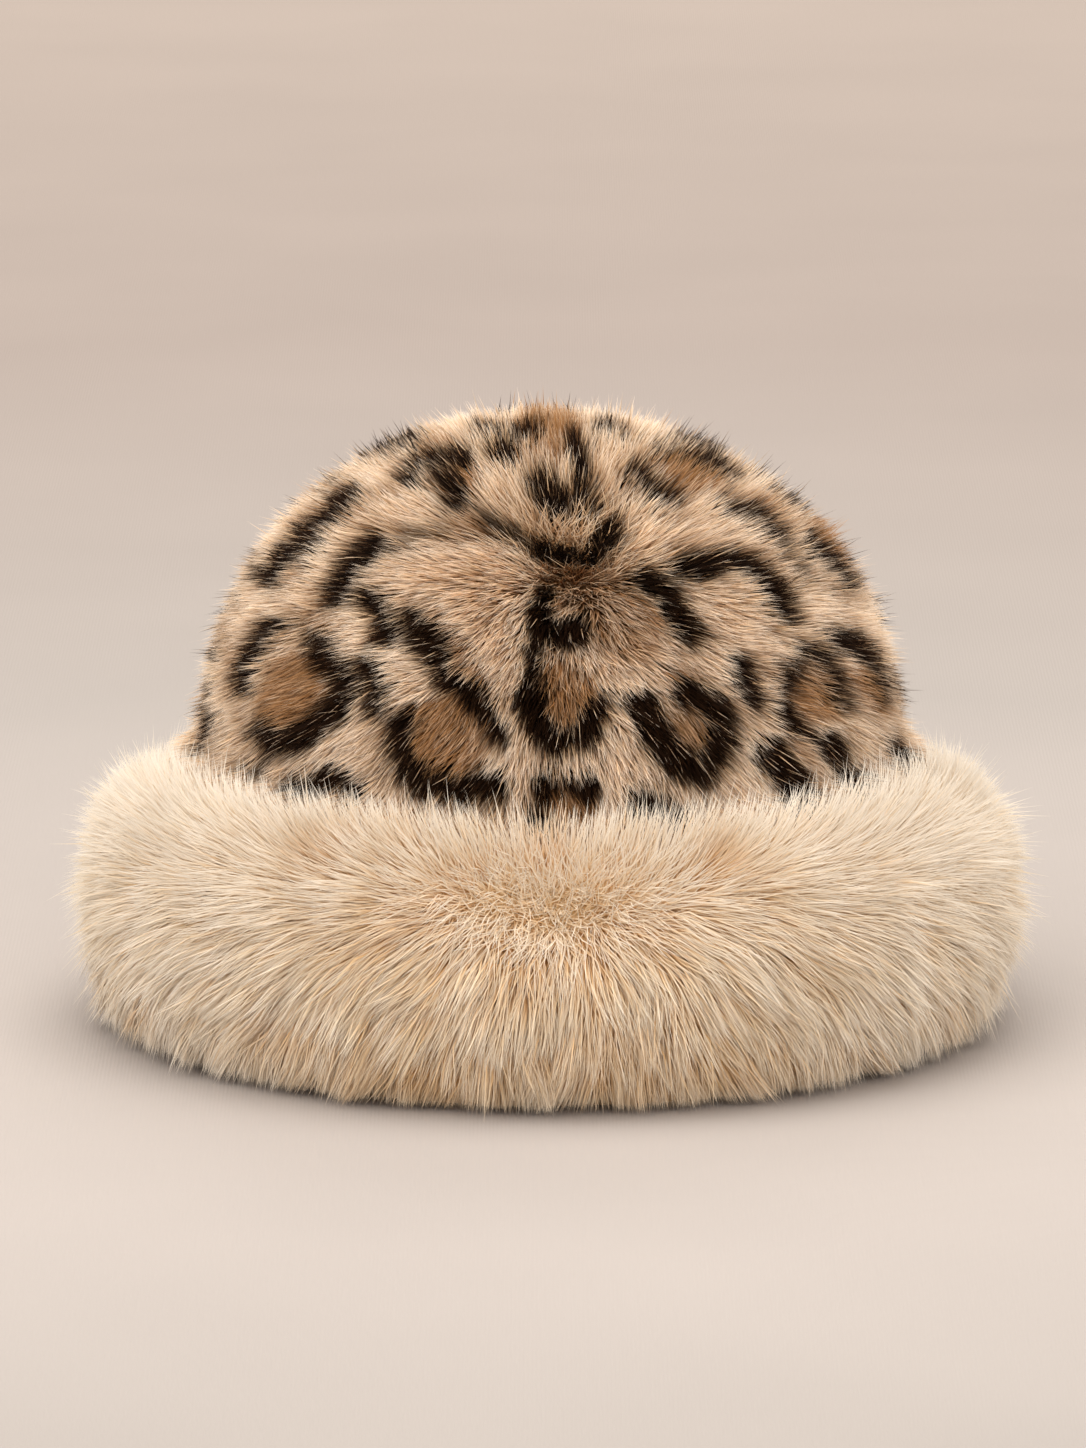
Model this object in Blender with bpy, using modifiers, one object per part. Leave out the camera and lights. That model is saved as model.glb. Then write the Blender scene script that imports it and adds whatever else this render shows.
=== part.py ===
"""Fur hat: a dome of six printed fur gores pulled in at a gather point, with a deep fur cuff.

The hat rests on its cuff as on a table. Units are metres, +Z is up, and the front of the hat
faces -Y. The origin is on the resting surface, in the middle of the head opening.
"""

import math
import random

import bmesh
import bpy
from mathutils import Matrix, Vector

# Head opening, measured inside the pelt
HEAD_WIDTH = 0.184
HEAD_LENGTH = 0.192

# Crown: its pelt and pile, and its dome above an upright wall
PELT = 0.003
PILE = 0.009
EDGE_LIFT = 0.006
WALL_ABOVE_CUFF = 0.003
DOME_RISE = 0.088
DOME_LEAN = -0.003

# Gores, and the gather where they meet, turned forward and aside from the dome's top
GORE_COUNT = 6
GORE_COLUMNS = 8
WALL_ROWS = 4
DOME_ROWS = 12
SEAM_TURN = math.radians(-92)
SEAM_GAP = 0.0003
SEAM_PILE_SHARE = 0.86
CREST_POWER = 3
GATHER_FORWARD = math.radians(41)
GATHER_ASIDE = math.radians(7)
GATHER_RADIUS = 0.0024
GATHER_DEPTH = 0.007
GATHER_SPREAD = math.radians(13)
GATHER_PILE_SHARE = 0.3
GATHER_SEAM_SHARE = 0.35
GATHER_SEAM_REACH = math.radians(38)

# Cuff: a core that stands against the crown, and leans away from its pile at the top
CUFF_GAP = 0.0006
CUFF_HEIGHT = 0.076
CUFF_DEPTH = 0.033
CUFF_FOOT = 0.025
CUFF_STEPS = 72
FLARE_HEIGHT = 0.022
FLARE_GAP = 0.0022
PILE_LEAD = 0.006
FOOT_TRIM = 0.001

# Outer side of the core above its foot: shares of CUFF_DEPTH and CUFF_HEIGHT
CUFF_OUTLINE = (
    {"out": 0.92, "up": 0.07},
    {"out": 0.99, "up": 0.22},
    {"out": 1.00, "up": 0.42},
    {"out": 0.97, "up": 0.64},
    {"out": 0.85, "up": 0.83},
)
# Rounded top of the core: across is a share of the way from the crown's pile to the outline
CUFF_TOP = (
    {"across": 0.50, "up": 0.95},
    {"across": 0.22, "up": 1.00},
    {"across": 0.00, "up": 0.985},
)

# Locks of the cuff: where each row is rooted in the core's section, and how its hair lies.
# out and up are shares of the cuff's depth and height, lean is the hair's slope in degrees
# above the level, and reach is a share of LOCK_LENGTH.
LOCK_LENGTH = 0.024
LOCK_WIDTH = 0.017
LOCK_THICKNESS = 0.0085
LOCK_SIDES = 4
LOCK_SWELL = 0.45
LOCK_DROOP = 0.10
LOCK_TWIST = math.radians(10)
LOCKS_PER_QUARTER = 10
LOCK_LENGTH_LEAST = 0.86
LOCK_LENGTH_MOST = 1.08
LOCK_LEAN_SPREAD = math.radians(6)
LOCK_SHIFT_SPREAD = 0.16
LOCK_ROWS = (
    {"out": 0.72, "up": 0.19, "lean": -42, "reach": 0.76},
    {"out": 0.80, "up": 0.37, "lean": -58, "reach": 0.98},
    {"out": 0.81, "up": 0.57, "lean": -52, "reach": 0.98},
    {"out": 0.70, "up": 0.75, "lean": -18, "reach": 0.80},
    {"out": 0.54, "up": 0.82, "lean": 34, "reach": 0.86},
    {"out": 0.42, "up": 0.82, "lean": 74, "reach": 0.70},
)
SEED = 11

HALF_WIDTH = HEAD_WIDTH / 2
HALF_LENGTH = HEAD_LENGTH / 2
OVAL = HALF_LENGTH - HALF_WIDTH
DOME_BASE = CUFF_HEIGHT + WALL_ABOVE_CUFF
FLARE_START = CUFF_HEIGHT - FLARE_HEIGHT
PILE_START = FLARE_START + PILE_LEAD
GORE_ANGLE = math.tau / GORE_COUNT
QUARTER = math.pi / 2


def clear_scene():
    """Remove every object of the scene."""
    for item in list(bpy.data.objects):
        bpy.data.objects.remove(item, do_unlink=True)


def make_collection(name):
    """Return a new collection of the scene."""
    collection = bpy.data.collections.new(name)
    bpy.context.scene.collection.children.link(collection)
    return collection


def make_material(name, colour, roughness):
    """Return a Principled material with one colour."""
    material = bpy.data.materials.new(name)
    material.use_nodes = True
    shader = material.node_tree.nodes["Principled BSDF"]
    shader.inputs["Base Color"].default_value = (*colour, 1.0)
    shader.inputs["Roughness"].default_value = roughness
    shader.inputs["Metallic"].default_value = 0.0
    return material


def make_object(name, bm, collection, material):
    """Turn a bmesh into an object of a collection."""
    mesh = bpy.data.meshes.new(name)
    bm.to_mesh(mesh)
    bm.free()
    mesh.materials.append(material)
    item = bpy.data.objects.new(name, mesh)
    collection.objects.link(item)
    return item


def smooth_step(low, high, value):
    """Rise smoothly from 0 at low to 1 at high."""
    share = min(1.0, max(0.0, (value - low) / (high - low)))
    return share * share * (3 - 2 * share)


def dome_point(angle, slope):
    """Point of the dome's inner side. slope is the angle from the gather, a right angle at its foot."""
    direction = Vector(
        (math.sin(slope) * math.cos(angle), math.sin(slope) * math.sin(angle), math.cos(slope))
    )
    pull = 1 - slope / QUARTER
    direction.rotate(Matrix.Rotation(GATHER_FORWARD * pull, 3, "X"))
    direction.rotate(Matrix.Rotation(GATHER_ASIDE * pull, 3, "Y"))
    sink = 1 - GATHER_DEPTH / HALF_WIDTH * math.exp(-((slope / GATHER_SPREAD) ** 2))
    height = DOME_RISE * direction.z * sink
    return Vector(
        (
            HALF_WIDTH * direction.x * sink + DOME_LEAN * smooth_step(0, DOME_RISE, height),
            HALF_LENGTH * direction.y * sink,
            DOME_BASE + height,
        )
    )


def wall_point(angle, height):
    """Point of the upright wall below the dome, on the pelt's inner side."""
    return Vector((HALF_WIDTH * math.cos(angle), HALF_LENGTH * math.sin(angle), height))


def slope_at(row):
    """Angle from the gather to a gore's row, a right angle for the rows of the upright wall."""
    tip = math.asin(GATHER_RADIUS / HALF_WIDTH)
    share = max(0, row - WALL_ROWS) / DOME_ROWS
    return QUARTER + (tip - QUARTER) * share


def gore_point(middle, across, row):
    """Point of a gore. across runs from -1 to 1 between its seams, row from its edge to the gather."""
    slope = slope_at(row)
    seam_inset = SEAM_GAP / 2 / (HALF_WIDTH * math.sin(slope))
    angle = middle + across * (GORE_ANGLE / 2 - seam_inset)
    if row <= WALL_ROWS:
        return wall_point(angle, EDGE_LIFT + (DOME_BASE - EDGE_LIFT) * row / WALL_ROWS)
    return dome_point(angle, slope)


def pile_share(across, slope, height):
    """Share of the full pile: none behind the cuff, less along the seams and where they meet."""
    near = math.exp(-((slope / GATHER_SEAM_REACH) ** 2))
    seam_share = SEAM_PILE_SHARE + (GATHER_SEAM_SHARE - SEAM_PILE_SHARE) * near
    crest = 1 - (1 - seam_share) * abs(across) ** CREST_POWER
    drawn_in = 1 - (1 - GATHER_PILE_SHARE) * math.exp(-((slope / GATHER_SPREAD) ** 2))
    return crest * drawn_in * smooth_step(PILE_START, DOME_BASE, height)


def build_gore(number, collection, material):
    """One gore: a grid laid on the dome, thickened outwards by its pelt and pile."""
    middle = SEAM_TURN + (number + 0.5) * GORE_ANGLE
    bm = bmesh.new()
    bmesh.ops.create_grid(
        bm, x_segments=GORE_COLUMNS, y_segments=WALL_ROWS + DOME_ROWS, size=1.0
    )
    shares = []
    for vert in bm.verts:
        across, row = vert.co.x, round((vert.co.y + 1) / 2 * (WALL_ROWS + DOME_ROWS))
        vert.co = gore_point(middle, across, row)
        shares.append(pile_share(across, slope_at(row), vert.co.z))
    item = make_object(f"crown_gore_{number + 1}", bm, collection, material)
    group = item.vertex_groups.new(name="pile")
    for index, share in enumerate(shares):
        group.add([index], share, "REPLACE")
    wall = item.modifiers.new("pelt_and_pile", "SOLIDIFY")
    wall.thickness = PELT + PILE
    wall.offset = 1.0
    wall.vertex_group = group.name
    wall.thickness_vertex_group = PELT / (PELT + PILE)
    item.data.shade_smooth()
    return item


def cuff_point(angle, out, height):
    """Point of the cuff. out is measured from the pelt of the head opening."""
    radius = HALF_WIDTH + PELT + out
    return Vector((radius * math.cos(angle), (radius + OVAL) * math.sin(angle), height))


def cuff_section():
    """Section of the cuff's core as (out, height), round from the inner foot by the outside."""
    foot = [(CUFF_GAP, -FOOT_TRIM), (CUFF_FOOT, -FOOT_TRIM)]
    outline = [(CUFF_DEPTH * row["out"], CUFF_HEIGHT * row["up"]) for row in CUFF_OUTLINE]
    inner = PILE + FLARE_GAP
    outer = outline[-1][0]
    top = [(inner + (outer - inner) * row["across"], CUFF_HEIGHT * row["up"]) for row in CUFF_TOP]
    return foot + outline + top + [(CUFF_GAP, FLARE_START)]


def cuff_core():
    """The cuff's body as a bmesh: its section spun round, then made oval as the head opening is."""
    bm = bmesh.new()
    corners = [bm.verts.new((HALF_WIDTH + PELT + out, 0, height)) for out, height in cuff_section()]
    edges = [bm.edges.new(pair) for pair in zip(corners, corners[1:] + corners[:1])]
    bmesh.ops.spin(
        bm,
        geom=corners + edges,
        cent=(0, 0, 0),
        axis=(0, 0, 1),
        angle=math.tau,
        steps=CUFF_STEPS,
        use_merge=True,
    )
    for vert in bm.verts:
        radius = math.hypot(vert.co.x, vert.co.y)
        vert.co.y *= (radius + OVAL) / radius
    bmesh.ops.recalc_face_normals(bm, faces=bm.faces)
    return bm


def lock_shape(length):
    """One lock of fur as a bmesh: a flat cone that swells before its tip, the tip drooping."""
    bm = bmesh.new()
    bmesh.ops.create_cone(bm, segments=LOCK_SIDES, radius1=0.5, radius2=0, depth=1.0, cap_ends=True)
    bmesh.ops.remove_doubles(bm, verts=bm.verts, dist=0.0001)
    swell = bmesh.ops.bisect_plane(
        bm,
        geom=bm.verts[:] + bm.edges[:] + bm.faces[:],
        plane_co=(0, 0, LOCK_SWELL - 0.5),
        plane_no=(0, 0, 1),
    )
    for corner in swell["geom_cut"]:
        if isinstance(corner, bmesh.types.BMVert):
            corner.co.x /= 1 - LOCK_SWELL
            corner.co.y /= 1 - LOCK_SWELL
    for vert in bm.verts:
        along = vert.co.z + 0.5
        vert.co.x *= LOCK_WIDTH
        vert.co.y = vert.co.y * LOCK_THICKNESS - LOCK_DROOP * along * along * length
        vert.co.z = along * length
    return bm


def lock_place(row, angle, lean, twist):
    """Matrix that roots a lock in the core and lays it along its hair."""
    outwards = Vector(
        (math.cos(angle) * math.cos(lean), math.sin(angle) * math.cos(lean), math.sin(lean))
    )
    level = Vector((-math.sin(angle), math.cos(angle), 0))
    level.rotate(Matrix.Rotation(twist, 3, outwards))
    place = Matrix((level, outwards.cross(level), outwards)).transposed().to_4x4()
    place.translation = cuff_point(angle, CUFF_DEPTH * row["out"], CUFF_HEIGHT * row["up"])
    return place


def add_lock(bm, length, place):
    """Add one lock to the bmesh of all of them."""
    shape = lock_shape(length)
    bmesh.ops.transform(shape, matrix=place, verts=shape.verts)
    copy = bpy.data.meshes.new("lock")
    shape.to_mesh(copy)
    shape.free()
    bm.from_mesh(copy)
    bpy.data.meshes.remove(copy)


def build_locks(collection, material):
    """Every lock of the cuff, in rows round it, each row set half a lock from the next."""
    rng = random.Random(SEED)
    bm = bmesh.new()
    for number, row in enumerate(LOCK_ROWS):
        for place in range(LOCKS_PER_QUARTER):
            length = LOCK_LENGTH * row["reach"] * rng.uniform(LOCK_LENGTH_LEAST, LOCK_LENGTH_MOST)
            twist = rng.uniform(-LOCK_TWIST, LOCK_TWIST)
            lean = math.radians(row["lean"]) + rng.uniform(-LOCK_LEAN_SPREAD, LOCK_LEAN_SPREAD)
            shift = 0.5 * (number % 2) + rng.uniform(-LOCK_SHIFT_SPREAD, LOCK_SHIFT_SPREAD)
            for side in range(4):
                angle = (side + (place + shift) / LOCKS_PER_QUARTER) * QUARTER
                add_lock(bm, length, lock_place(row, angle, lean, twist))
    locks = make_object("cuff_locks", bm, collection, material)
    locks.hide_render = True
    locks.display_type = "WIRE"
    return locks


def build_floor_cutter(collection, material):
    """The block that trims the locks level where the hat rests."""
    width = 2 * (HALF_LENGTH + PELT + CUFF_DEPTH + LOCK_LENGTH)
    depth = FOOT_TRIM + LOCK_LENGTH
    bm = bmesh.new()
    bmesh.ops.create_cube(bm, size=1.0)
    bmesh.ops.scale(bm, verts=bm.verts, vec=(width, width, depth))
    bmesh.ops.translate(bm, verts=bm.verts, vec=(0, 0, -depth / 2))
    block = make_object("rest_cutter", bm, collection, material)
    block.hide_render = True
    block.display_type = "WIRE"
    return block


def build_cuff(collection, helpers, material):
    """The cuff: its core with the locks fused on, trimmed level underneath."""
    cuff = make_object("cuff", cuff_core(), collection, material)
    join = cuff.modifiers.new("locks", "BOOLEAN")
    join.operation = "UNION"
    join.use_self = True
    join.object = build_locks(helpers, material)
    trim = cuff.modifiers.new("level_foot", "BOOLEAN")
    trim.operation = "DIFFERENCE"
    trim.object = build_floor_cutter(helpers, material)
    return cuff


def main():
    """Build the hat."""
    clear_scene()
    hat = make_collection("fur_hat")
    helpers = make_collection("helpers")
    printed_fur = make_material("printed_fur", (0.55, 0.36, 0.20), 0.75)
    cream_fur = make_material("cream_fur", (0.80, 0.62, 0.42), 0.80)
    for number in range(GORE_COUNT):
        build_gore(number, hat, printed_fur)
    build_cuff(hat, helpers, cream_fur)


main()
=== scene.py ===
"""Looks of the fur hat: its pelts, the combed fur on them, the printed marks, and a plain studio.

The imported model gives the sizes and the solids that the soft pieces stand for. Units are metres,
+Z is up, and the front of the hat faces -Y.
"""

from __future__ import annotations

import logging
import math
from dataclasses import dataclass, field, fields
from enum import Enum

import bmesh
import bpy
import numpy as np
from bpy.types import Material, Mesh, Node, NodeSocket, NodeTree, Object
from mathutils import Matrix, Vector
from mathutils.bvhtree import BVHTree
from mathutils.kdtree import KDTree

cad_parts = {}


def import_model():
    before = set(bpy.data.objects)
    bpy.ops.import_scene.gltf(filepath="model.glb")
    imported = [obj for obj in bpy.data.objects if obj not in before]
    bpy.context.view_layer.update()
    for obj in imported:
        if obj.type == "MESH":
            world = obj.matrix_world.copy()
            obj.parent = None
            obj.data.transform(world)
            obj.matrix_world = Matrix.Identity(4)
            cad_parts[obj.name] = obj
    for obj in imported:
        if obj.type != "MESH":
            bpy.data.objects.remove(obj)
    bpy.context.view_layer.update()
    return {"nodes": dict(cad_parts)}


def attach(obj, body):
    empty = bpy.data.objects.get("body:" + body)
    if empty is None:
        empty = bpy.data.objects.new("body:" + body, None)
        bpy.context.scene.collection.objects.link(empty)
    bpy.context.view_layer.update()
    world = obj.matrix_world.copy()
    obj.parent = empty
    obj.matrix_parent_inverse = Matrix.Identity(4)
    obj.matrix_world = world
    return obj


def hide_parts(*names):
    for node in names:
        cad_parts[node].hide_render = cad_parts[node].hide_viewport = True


Array = np.ndarray
Stops = tuple[tuple[float, str], ...]
LOG = logging.getLogger("fur_hat")
MM = 0.001
BODY = "root"
PHOTO_WIDTH = 1086
PHOTO_HEIGHT = 1448
SENSOR = 36.0
QUARTER = math.pi / 2


class Slot(Enum):
    """The record's material slots."""

    PRINTED = "printed_fur"
    CREAM = "cream_fur"


class Side(Enum):
    """The quarters of the cuff, each with the angle of its middle."""

    FRONT = -QUARTER
    RIGHT = 0.0
    BACK = QUARTER
    LEFT = math.pi


def to_linear(hex_colour: str) -> tuple[float, float, float, float]:
    """Turn an sRGB hex colour into a linear colour.

    Args:
        hex_colour: six hex digits after a hash sign.

    Returns:
        Linear red, green and blue, with an alpha of 1.
    """
    shares = [int(hex_colour[at : at + 2], 16) / 255 for at in (1, 3, 5)]
    linear = [c / 12.92 if c <= 0.04045 else ((c + 0.055) / 1.055) ** 2.4 for c in shares]
    return (*linear, 1.0)


def smooth_step(low: float, high: float, value: Array) -> Array:
    """Rise smoothly from 0 at low to 1 at high."""
    share = np.clip((value - low) / (high - low), 0.0, 1.0)
    return share * share * (3 - 2 * share)


def unit(vectors: Array) -> Array:
    """Return the vectors at length 1."""
    return vectors / np.maximum(np.linalg.norm(vectors, axis=-1, keepdims=True), 1e-9)


def dot(one: Array, other: Array) -> Array:
    """Return the dot products, with the last axis kept."""
    return np.sum(one * other, axis=-1, keepdims=True)


def waves(places: Array, pitch: float, seed: int) -> Array:
    """Smooth noise between about -1 and 1, made of a few waves in chance directions.

    Args:
        places: points, one a row.
        pitch: mean length of the waves.
        seed: seed of the directions.

    Returns:
        One value for each point.
    """
    rng = np.random.default_rng(seed)
    total = np.zeros(len(places))
    count = 7
    for _ in range(count):
        way = unit(rng.normal(size=3))
        total += np.sin(places @ way * math.tau / (pitch * rng.uniform(0.6, 1.6)) + rng.uniform(0, math.tau))
    return total / math.sqrt(count)


def add_node(tree: NodeTree, kind: str, settings: dict | None = None, links: dict | None = None) -> Node:
    """Add a shader node with its settings and links.

    Args:
        tree: the node tree.
        kind: the node's type, without its first words.
        settings: values by property name, or by input socket name or number.
        links: output sockets by input socket name or number.

    Returns:
        The new node.
    """
    node = tree.nodes.new(f"ShaderNode{kind}")
    for key, value in (settings or {}).items():
        if isinstance(key, str) and hasattr(node, key):
            setattr(node, key, value)
        else:
            node.inputs[key].default_value = value
    for key, socket in (links or {}).items():
        tree.links.new(socket, node.inputs[key])
    return node


class Recipe:
    """A new material, built up step by step. Each step returns the socket that gives its result."""

    def __init__(self, name: str) -> None:
        """Start the material."""
        self.material = bpy.data.materials.new(name)
        self.material.use_nodes = True
        self.tree = self.material.node_tree

    def read(self, attribute: str) -> NodeSocket:
        """Read one of the mesh's own attributes."""
        return add_node(self.tree, "Attribute", {"attribute_name": attribute}).outputs["Fac"]

    def place(self) -> NodeSocket:
        """Read the place on the object."""
        return add_node(self.tree, "TexCoord").outputs["Object"]

    def noise(self, pitch_mm: float, detail: float, rough: float = 0.5) -> NodeSocket:
        """Add soft noise of a pitch in millimetres."""
        settings = {"Scale": 1 / (pitch_mm * MM), "Detail": detail, "Roughness": rough}
        return add_node(self.tree, "TexNoise", settings, {"Vector": self.place()}).outputs["Fac"]

    def ramp(self, share: NodeSocket, stops: Stops) -> NodeSocket:
        """Colour a share by a ramp of places and hex colours.

        Args:
            share: where on the ramp each point is, from 0 to 1.
            stops: places and their sRGB hex colours.

        Returns:
            The colour.
        """
        node = add_node(self.tree, "ValToRGB", links={"Fac": share})
        elements = node.color_ramp.elements
        while len(elements) < len(stops):
            elements.new(0.5)
        for element, (place, colour) in zip(elements, stops):
            element.position = place
            element.color = to_linear(colour)
        return node.outputs["Color"]

    def spread(
        self, value: NodeSocket, low: float, high: float, start: float = 0.0, end: float = 1.0
    ) -> NodeSocket:
        """Spread a value that runs from start to end between low and high."""
        settings = {"From Min": start, "From Max": end, "To Min": low, "To Max": high}
        return add_node(self.tree, "MapRange", settings, {"Value": value}).outputs["Result"]

    def mix(self, share: NodeSocket, first: NodeSocket, second: NodeSocket | tuple) -> NodeSocket:
        """Mix a second colour into the first by a share."""
        settings, links = {"data_type": "RGBA"}, {0: share, 6: first}
        (links if isinstance(second, NodeSocket) else settings)[7] = second
        return add_node(self.tree, "Mix", settings, links).outputs[2]

    def scale(self, colour: NodeSocket, share: NodeSocket) -> NodeSocket:
        """Make a colour lighter or darker."""
        links = {0: colour, "Scale": share}
        return add_node(self.tree, "VectorMath", {"operation": "SCALE"}, links).outputs["Vector"]

    def bump(self, height: NodeSocket, strength: float, depth_mm: float) -> NodeSocket:
        """Raise the surface by a height."""
        settings = {"Strength": strength, "Distance": depth_mm * MM}
        return add_node(self.tree, "Bump", settings, {"Height": height}).outputs["Normal"]

    def finish(self, links: dict[str, NodeSocket], settings: dict[str, float]) -> Material:
        """Lead the sockets to the shader and set its plain values.

        Args:
            links: sockets by input name.
            settings: values by input name.

        Returns:
            The material.
        """
        shader = self.tree.nodes["Principled BSDF"]
        for key, socket in links.items():
            self.tree.links.new(socket, shader.inputs[key])
        for key, value in settings.items():
            shader.inputs[key].default_value = value
        return self.material


@dataclass(frozen=True)
class FurFinish:
    """Keratin hair, combed: each hair is darker at its root and pale at its tip.

    A ramp runs from root to tip for each colour that the coat is dyed or grown in.
    """

    name: str
    ground: Stops
    warm: Stops
    pale: Stops
    dark: Stops
    darkest: float
    lightest: float
    specular: float
    smoothest: float = 0.52
    roughest: float = 0.70

    def material(self) -> Material:
        """Build the material, which reads the hair's own attributes.

        Returns:
            The material.
        """
        recipe = Recipe(self.name)
        along, tint = recipe.read("along"), recipe.read("tint")
        shade = recipe.ramp(along, self.ground)
        for attribute, stops in (("warm", self.warm), ("pale", self.pale), ("mark", self.dark)):
            shade = recipe.mix(recipe.read(attribute), shade, recipe.ramp(along, stops))
        lit = recipe.scale(shade, recipe.spread(tint, self.darkest, self.lightest))
        gloss = recipe.spread(tint, self.smoothest, self.roughest)
        return recipe.finish({"Base Color": lit, "Roughness": gloss}, {"Specular IOR Level": self.specular})


# Sheared fur with a leopard print: it gives the eye soft tan and cream with near-black hairs
PRINTED_FUR = FurFinish(
    name="printed_sheared_fur",
    ground=((0.0, "#986032"), (0.35, "#D29F6D"), (0.72, "#F2D0A8"), (1.0, "#FFF0DF")),
    warm=((0.0, "#45280F"), (0.4, "#704624"), (0.8, "#9B6A3B"), (1.0, "#C19260")),
    pale=((0.0, "#84603F"), (0.35, "#C4A482"), (0.72, "#EBD5BA"), (1.0, "#FCF0E2")),
    dark=((0.0, "#070402"), (0.6, "#130A05"), (0.9, "#26160B"), (1.0, "#4C2F1A")),
    darkest=0.76,
    lightest=1.16,
    specular=0.03,
)

# Long fox fur: it gives the eye creamy tips over golden roots. The roots' rich, light gold is partly the
# fur's own colour and partly painted light, standing in for light scattered deep among the hairs.
CREAM_FUR = FurFinish(
    name="cream_fox_fur",
    ground=((0.0, "#E9B068"), (0.3, "#F1C48D"), (0.6, "#EDD6B4"), (1.0, "#E9E0D1")),
    warm=((0.0, "#DDA156"), (0.35, "#E5B77E"), (0.7, "#E4C8A0"), (1.0, "#DED0B8")),
    pale=((0.0, "#F8D6A4"), (0.3, "#FBE3C0"), (0.6, "#F7E8D3"), (1.0, "#F0E8DC")),
    dark=((0.0, "#C88B40"), (0.4, "#D8A260"), (0.8, "#DCB482"), (1.0, "#D8BB98")),
    darkest=0.90,
    lightest=1.04,
    specular=0.12,
)


@dataclass(frozen=True)
class FleeceFinish:
    """Under-fur: a dense short fleece, seen only in the gaps between the hairs."""

    name: str
    light: str
    deep: str
    marked: str
    pitch_mm: float = 1.2

    def material(self) -> Material:
        """Build the material, with the fleece's tufts as noise and bump.

        Returns:
            The material.
        """
        recipe = Recipe(self.name)
        tufts = recipe.noise(self.pitch_mm, detail=3.0, rough=0.6)
        base = recipe.ramp(tufts, ((0.3, self.deep), (0.7, self.light)))
        return recipe.finish(
            {
                "Base Color": recipe.mix(recipe.read("mark"), base, to_linear(self.marked)),
                "Normal": recipe.bump(tufts, strength=0.6, depth_mm=0.6),
                "Roughness": recipe.spread(tufts, 0.8, 0.95),
            },
            {"Specular IOR Level": 0.2},
        )


@dataclass(frozen=True)
class SuedeFinish:
    """Tanned pelt seen from its flesh side: soft matt suede with fine pores and faint blotches."""

    name: str = "tanned_pelt_suede"
    light: str = "#D8BE9B"
    deep: str = "#B4936B"
    pore_mm: float = 0.9
    blotch_mm: float = 18.0

    def material(self) -> Material:
        """Build the material.

        Returns:
            The material.
        """
        recipe = Recipe(self.name)
        blotch = recipe.noise(self.blotch_mm, detail=4.0)
        pore_scale = {"Scale": 1 / (self.pore_mm * MM)}
        pores = add_node(recipe.tree, "TexVoronoi", pore_scale, {"Vector": recipe.place()})
        return recipe.finish(
            {
                "Base Color": recipe.ramp(blotch, ((0.3, self.deep), (0.7, self.light))),
                "Normal": recipe.bump(pores.outputs["Distance"], strength=0.35, depth_mm=0.3),
                "Roughness": recipe.spread(blotch, 0.78, 0.92),
            },
            {"Sheen Weight": 0.2},
        )


@dataclass(frozen=True)
class LinenFinish:
    """Pale linen cloth, woven: a matt surface with a faint thread grid, and a slow darkening that is painted
    shade of soft creases.

    The colour stops by distance in metres from the hat are lighter close to the hat, as painted light against
    the hat's shadow, and lighter far off, as painted light where the lamps' light falls off.
    """

    name: str = "pale_linen"
    tones_with_painted_light: Stops = ((0.28, "#C2B9B3"), (0.48, "#B8B0AA"), (1.2, "#B9ACA4"), (2.2, "#C9BBB1"))
    reach: float = 3.0
    crease_shade_darkest: float = 0.96
    thread_mm: float = 1.1
    crease_shade_mm: float = 160.0

    def material(self) -> Material:
        """Build the material. The threads are drawn coarser than real ones so that they show.

        Returns:
            The material.
        """
        recipe = Recipe(self.name)
        place = recipe.place()
        scale = math.tau / 20 / (self.thread_mm * MM)
        threads = []
        for way in ("X", "Y"):
            settings = {"bands_direction": way, "Scale": scale, "Distortion": 1.5}
            threads.append(add_node(recipe.tree, "TexWave", settings, {"Vector": place}).outputs["Fac"])
        weave = add_node(recipe.tree, "Math", {"operation": "MULTIPLY"}, dict(enumerate(threads)))
        away = add_node(recipe.tree, "VectorMath", {"operation": "LENGTH"}, {0: place})
        share = recipe.spread(away.outputs["Value"], 0.0, 1.0, end=self.reach)
        # Painted light: the cloth is made lighter near the hat, where its shadow falls, and lighter far off,
        # where the lamps' light falls off.
        base = recipe.ramp(share, tuple((far / self.reach, tone) for far, tone in self.tones_with_painted_light))
        # Painted shade: a slow noise darkens the flat cloth a little, as soft creases would shade it.
        crease_shade = recipe.noise(self.crease_shade_mm, detail=2.0)
        fade = recipe.spread(crease_shade, self.crease_shade_darkest, 1.0, start=0.3, end=0.7)
        return recipe.finish(
            {
                "Base Color": recipe.scale(base, fade),
                "Normal": recipe.bump(weave.outputs["Value"], strength=0.25, depth_mm=0.2),
            },
            {"Roughness": 0.9, "Specular IOR Level": 0.1},
        )


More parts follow.
